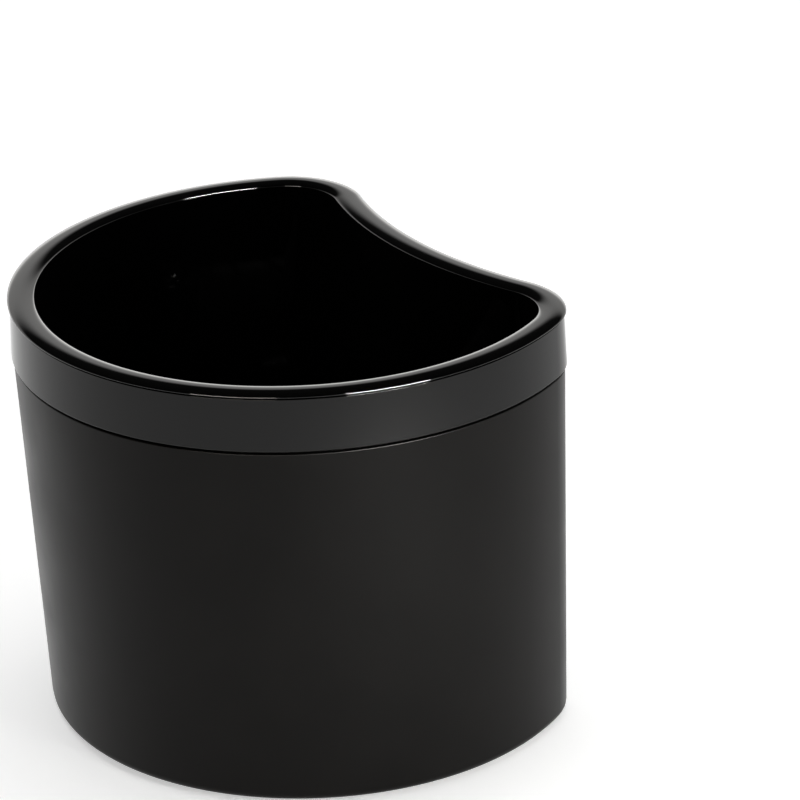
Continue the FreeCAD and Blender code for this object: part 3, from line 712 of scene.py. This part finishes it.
def make_bucket():
    """The gloss bucket: crowned lip, thin tapered walls, rounded floor and the two towers."""
    wall_foot = (BUCKET_INSETS[0], BUCKET_FOOT, BUCKET_ROUND, OUTER_TAPER)
    neck = (BUCKET_NECK, LIP_SEAT, 0.4, OUTER_TAPER)
    cavity_top = (LIP_WIDTH, LIP_TOP - LIP_FALL, 0.0, at_rim)
    cavity_foot = (BUCKET_INSETS[1], CAVITY_FLOOR, BUCKET_INNER_ROUND, INNER_TAPER)
    section = [(BUCKET_INSETS[0] + BUCKET_LAND, BUCKET_FOOT, 0.0, at_base), wall_foot]
    section += along_wall(wall_foot, neck, 9)
    section += [neck, (LIP_UNDERCUT, LIP_SEAT, 0.15, at_rim)]
    section += lip_section()
    section += along_wall(cavity_top[:3] + (INNER_TAPER,), cavity_foot, 10)
    section += [cavity_foot, (BUCKET_INSETS[1] + BUCKET_LAND, CAVITY_FLOOR, 0.0, at_base)]
    mesh = bmesh.new()
    rings = loft(mesh, rounded(section, False), False)
    fill(mesh, [rings[0]])
    fill(mesh, [rings[-1]])
    bucket = finished(mesh, "lift_out_bucket")
    for side in ("front", "rear"):
        combine(bucket, make_tower(side), "UNION")
    bucket.data.shade_smooth()
    return make_piece(bucket, "bucket", "bucket_gloss", BUCKET_GLOSS, "inner_bucket")


def make_channel(side):
    """A rubber channel, open at the top and towards the bar."""
    low, high = mm_box(f"cradle_liner_{side}")
    floor = low.z + LINER_WALL
    section = [
        (low.x, low.z), (high.x, low.z), (high.x, high.z), (high.x - LINER_WALL, high.z),
        (high.x - LINER_WALL, floor), (low.x + LINER_WALL, floor), (low.x + LINER_WALL, high.z),
        (low.x, high.z),
    ]
    mesh = bmesh.new()
    prism(mesh, section, low.y, high.y, ALONG_Y)
    soften(mesh, 0.25)
    piece = finished(mesh, f"rubber_channel_{side}")
    return make_piece(piece, "bucket", "seal_rubber", SEAL_RUBBER, f"cradle_liner_{side}")


# ---------------------------------------------------------------- pieces of the bar

BAR_HEIGHT = centre_of("bar_core").z
TO_BAR = Matrix.Translation((0, 0, BAR_HEIGHT)) @ Matrix.Rotation(-math.pi / 2, 4, "X")


def make_sleeve():
    """The rubber sleeve, with rounded ends and soft-edged grip grooves. It is turned about Y."""
    radius = radius_of("bar_sleeve")
    bore = radius_of("bar_core") + SLEEVE_FIT
    start, end = sleeve_low.y, sleeve_high.y
    first, last = start + GRIP_MARGIN - GRIP_WIDTH / 2, end - GRIP_MARGIN + GRIP_WIDTH / 2
    corners = [(bore, start, 0.2), (radius, start, SLEEVE_ROUND)]
    for index in range(GRIP_COUNT):
        middle = first + (last - first) * index / (GRIP_COUNT - 1)
        inside, outside = GRIP_WIDTH / 2 - GRIP_FLANK, GRIP_WIDTH / 2 + GRIP_FLANK
        corners += [
            (radius, middle - outside, 0.3), (radius - GRIP_DEPTH, middle - inside, 0.25),
            (radius - GRIP_DEPTH, middle + inside, 0.25), (radius, middle + outside, 0.3),
        ]
    corners += [(radius, end, SLEEVE_ROUND), (bore, end, 0.2)]
    section = [(a, b, c, None) for a, b, c in corners]
    levels = [tuple(point) for point, _ in rounded(section, True)]
    mesh = bmesh.new()
    turned(mesh, (0, 0), levels, 96, closed=True)
    piece = finished(mesh, "grip_sleeve", TO_BAR)
    return make_piece(piece, "bar", "sleeve_rubber", SLEEVE_RUBBER, "bar_sleeve")


def make_bar_end(side):
    """A moulded end: a round collar, and a flat-sided tongue with a counterbored screw hole."""
    low, high = mm_box(f"bar_end_{side}")
    collar_radius = (high.x - low.x) / 2
    sign = -1 if side == "front" else 1
    inner = high.y if side == "front" else low.y
    collar_face = inner + sign * COLLAR_WIDTH
    tip = low.y if side == "front" else high.y
    mesh = bmesh.new()
    levels = profile([
        (3.0, collar_face, 0), (collar_radius, collar_face, COLLAR_ROUND),
        (collar_radius, inner, COLLAR_ROUND), (SOCKET_RADIUS, inner, 0.15),
        (SOCKET_RADIUS, inner + sign * SOCKET_DEPTH, 0)])
    cap_ends(mesh, turned(mesh, (0, 0), levels))
    collar = finished(mesh, f"end_cap_{side}", TO_BAR)
    block = bmesh.new()
    section = [
        (-TONGUE_HALF, BAR_HEIGHT - TONGUE_DROP), (TONGUE_HALF, BAR_HEIGHT - TONGUE_DROP),
        (TONGUE_HALF, BAR_HEIGHT + TONGUE_RISE), (-TONGUE_HALF, BAR_HEIGHT + TONGUE_RISE),
    ]
    prism(block, section, tip, collar_face - sign * TONGUE_ROOT, ALONG_Y)
    soften(block, 0.5)
    combine(collar, finished(block, "tongue_block"), "UNION")
    for radius, start, end in (
        (COUNTERBORE_RADIUS, tip + sign * 1.0, tip - sign * COUNTERBORE_DEPTH),
        (SCREW_HOLE, tip + sign * 1.0, inner - sign * 1.0),
    ):
        cutter = bmesh.new()
        cap_ends(cutter, turned(cutter, (0, 0), [(radius, start), (radius, end)], 40))
        combine(collar, finished(cutter, "bore_cutter", TO_BAR), "DIFFERENCE")
    collar.data.shade_smooth()
    return make_piece(collar, "bar", "end_plastic", END_PLASTIC, f"bar_end_{side}")


def make_bar_screws():
    """The two socket screws that clamp the ends to the core."""
    low, high = mm_box("bar_screws")
    mesh = bmesh.new()
    socket_screw(mesh, (0, 0), low.y + SCREW_HEAD_HEIGHT, BAR_SCREW_LENGTH, 1)
    socket_screw(mesh, (0, 0), high.y - SCREW_HEAD_HEIGHT, BAR_SCREW_LENGTH, -1)
    piece = finished(mesh, "clamp_screws", TO_BAR)
    return make_piece(piece, "bar", "steel", STEEL, "bar_screws")


def finish_cad_nodes():
    """The carried-over metal nodes keep their shape and get their finish."""
    for node, material in (
        ("ballast_plate", ZINC), ("threaded_inserts", BRASS), ("bar_core", STEEL), ("bar_washers", ZINC),
    ):
        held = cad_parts[node].data.materials
        if not held:
            held.append(material)
        for index in range(len(held)):
            held[index] = material


# ---------------------------------------------------------------- stage, lights and camera

AZIMUTH = math.radians(58.2)
ELEVATION = math.radians(22.34)
ROLL = math.radians(-2.65)
DISTANCE = 0.969
AXIS_RIGHT, AXIS_BELOW = 0.0251, 0.02985     # where the camera's axis passes the middle of the rim
LENS, SENSOR = 180.0, 36.0
CLIP_START, CLIP_END = 0.01, 50.0
FLOOR_RADIUS, FLOOR_GLOW = 6000, 0.48
WALL_TOP, HORIZON_TOP = (22, 29), (8, 17)    # degrees up, where the studio's brightness falls away
WHITE, NEARLY_WHITE = (1.0, 1.0, 1.0), (1.0, 0.99, 0.96)
SOFT_WHITE, WARM_WHITE = (1.0, 0.98, 0.95), (1.0, 0.95, 0.86)
TO_CAMERA = Vector((math.sin(AZIMUTH), -math.cos(AZIMUTH), 0))
TO_RIGHT = Vector((math.cos(AZIMUTH), math.sin(AZIMUTH), 0))
RIM_CENTRE = Vector((0, 0, LIP_TOP * MM))


def make_camera():
    """Look at the rim's middle, roll, then turn aside, so that it lies left of and above the axis."""
    away = TO_CAMERA * math.cos(ELEVATION) + Vector((0, 0, math.sin(ELEVATION)))
    level_up = TO_RIGHT.cross(-away)
    right = math.cos(ROLL) * TO_RIGHT + math.sin(ROLL) * level_up
    up = -math.sin(ROLL) * TO_RIGHT + math.cos(ROLL) * level_up
    looking = Matrix((right, up, away)).transposed()
    aside = Vector((-AXIS_RIGHT, AXIS_BELOW, -DISTANCE)).normalized()
    turn = aside.rotation_difference(Vector((0, 0, -1))).to_matrix()
    camera = bpy.data.objects.new("camera", bpy.data.cameras.new("camera"))
    camera.matrix_world = Matrix.Translation(RIM_CENTRE + away * DISTANCE) @ (looking @ turn).to_4x4()
    camera.data.lens = LENS
    camera.data.sensor_width = SENSOR
    camera.data.clip_start, camera.data.clip_end = CLIP_START, CLIP_END
    bpy.context.scene.collection.objects.link(camera)
    bpy.context.scene.camera = camera


def make_floor():
    """A wide pale floor with a faint glow, which stands in for the photograph's white ground."""
    mesh = bmesh.new()
    ring = ring_of(mesh, circle((0, 0), FLOOR_RADIUS, 96), 0)
    mesh.faces.new(ring)
    floor = finished(mesh, "floor")
    material, shader, add = new_material("pale_floor")
    link = material.node_tree.links.new
    place = add("ShaderNodeTexCoord").outputs["Object"]
    slow = add("ShaderNodeTexNoise", {"Vector": place, "Scale": 3.0, "Detail": 3.0})
    tint = add("ShaderNodeMix", {"Factor": slow.outputs["Fac"]}, data_type="RGBA")
    tint.inputs[6].default_value = rgb(0.86)
    tint.inputs[7].default_value = rgb(0.90)
    link(tint.outputs[2], shader.inputs["Base Color"])
    shader.inputs["Roughness"].default_value = 0.9
    shader.inputs["Specular IOR Level"].default_value = 0.1
    shader.inputs["Emission Color"].default_value = rgb(1.0)
    shader.inputs["Emission Strength"].default_value = FLOOR_GLOW
    floor.data.materials.append(material)


def on_side(side, toward):
    """A floor-level step away from the camera's line, side degrees to its right."""
    around = math.radians(side)
    return toward * (TO_CAMERA * math.cos(around) + TO_RIGHT * math.sin(around))


def area_light(name, aim, side, height, toward, size, watts, colour, reflected):
    """A rectangular soft light, seen only in reflections or only by the surfaces it falls on.

    side is in degrees to the right of the camera, height in degrees above the floor.
    """
    above = math.radians(height)
    data = bpy.data.lights.new(name, "AREA")
    data.shape = "RECTANGLE"
    data.size, data.size_y = size
    data.energy = watts
    data.color = colour
    light = bpy.data.objects.new(name, data)
    spot = aim + on_side(side, toward * math.cos(above)) + Vector((0, 0, toward * math.sin(above)))
    light.location = spot
    light.rotation_euler = (spot - aim).to_track_quat("Z", "Y").to_euler()
    light.visible_glossy = reflected
    light.visible_diffuse = not reflected
    light.visible_camera = False
    bpy.context.scene.collection.objects.link(light)


def make_world():
    """A studio whose walls are bright up to a level, brightest behind the object, under a dark ceiling.

    Three shares are multiplied: the wall against the ceiling, the side behind the object against the
    camera's side, and a brighter band along the horizon.
    """
    world = bpy.data.worlds.new("studio")
    bpy.context.scene.world = world
    world.use_nodes = True
    nodes, link = world.node_tree.nodes, world.node_tree.links.new

    def share(value, start, end, low, high):
        """A smooth step of a value, from low at its start to high at its end."""
        step = nodes.new("ShaderNodeMapRange")
        step.interpolation_type = "SMOOTHSTEP"
        link(value, step.inputs["Value"])
        for key, number in (("From Min", start), ("From Max", end), ("To Min", low), ("To Max", high)):
            step.inputs[key].default_value = number
        return step.outputs["Result"]

    def product(first, second):
        """Two shares multiplied."""
        node = nodes.new("ShaderNodeMath")
        node.operation = "MULTIPLY"
        link(first, node.inputs[0])
        link(second, node.inputs[1])
        return node.outputs[0]

    direction = nodes.new("ShaderNodeTexCoord").outputs["Generated"]
    parts = nodes.new("ShaderNodeSeparateXYZ")
    link(direction, parts.inputs[0])
    behind = nodes.new("ShaderNodeVectorMath")
    behind.operation = "DOT_PRODUCT"
    link(direction, behind.inputs[0])
    behind.inputs[1].default_value = -TO_CAMERA
    wall = share(parts.outputs["Z"], *[math.sin(math.radians(angle)) for angle in WALL_TOP], 1.0, 0.02)
    side = share(behind.outputs["Value"], -0.35, 0.45, 0.22, 0.95)
    horizon = share(parts.outputs["Z"], *[math.sin(math.radians(angle)) for angle in HORIZON_TOP], 2.4, 1.0)
    link(product(product(wall, side), horizon), nodes["Background"].inputs["Strength"])
    nodes["Background"].inputs["Color"].default_value = (1.0, 0.99, 0.97, 1.0)


def make_lights():
    """A light over the floor, a pool of light on it, and two strips that streak along the lip."""
    middle, pool = RIM_CENTRE * 0.6, on_side(31, 0.25)
    area_light("overhead", middle, 180, 78, 2.4, (2.4, 2.4), 38, WHITE, reflected=False)
    area_light("floor_pool", pool, 31, 85, 0.12, (0.07, 0.07), 0.26, NEARLY_WHITE, reflected=False)
    area_light("strip_right", middle, 34, 28, 1.5, (0.80, 0.20), 140, SOFT_WHITE, reflected=True)
    area_light("strip_left", middle, -27, 28, 1.5, (0.80, 0.16), 16, WARM_WHITE, reflected=True)


make_shell()
make_band()
make_seal()
make_pad()
for damper in DAMPER_NODES:
    make_damper(damper)
make_ballast_screws()
make_bucket()
for end in ("front", "rear"):
    make_channel(end)
    make_bar_end(end)
make_sleeve()
make_bar_screws()
finish_cad_nodes()
make_floor()
make_world()
make_lights()
make_camera()
bpy.context.scene.view_settings.view_transform = "Standard"
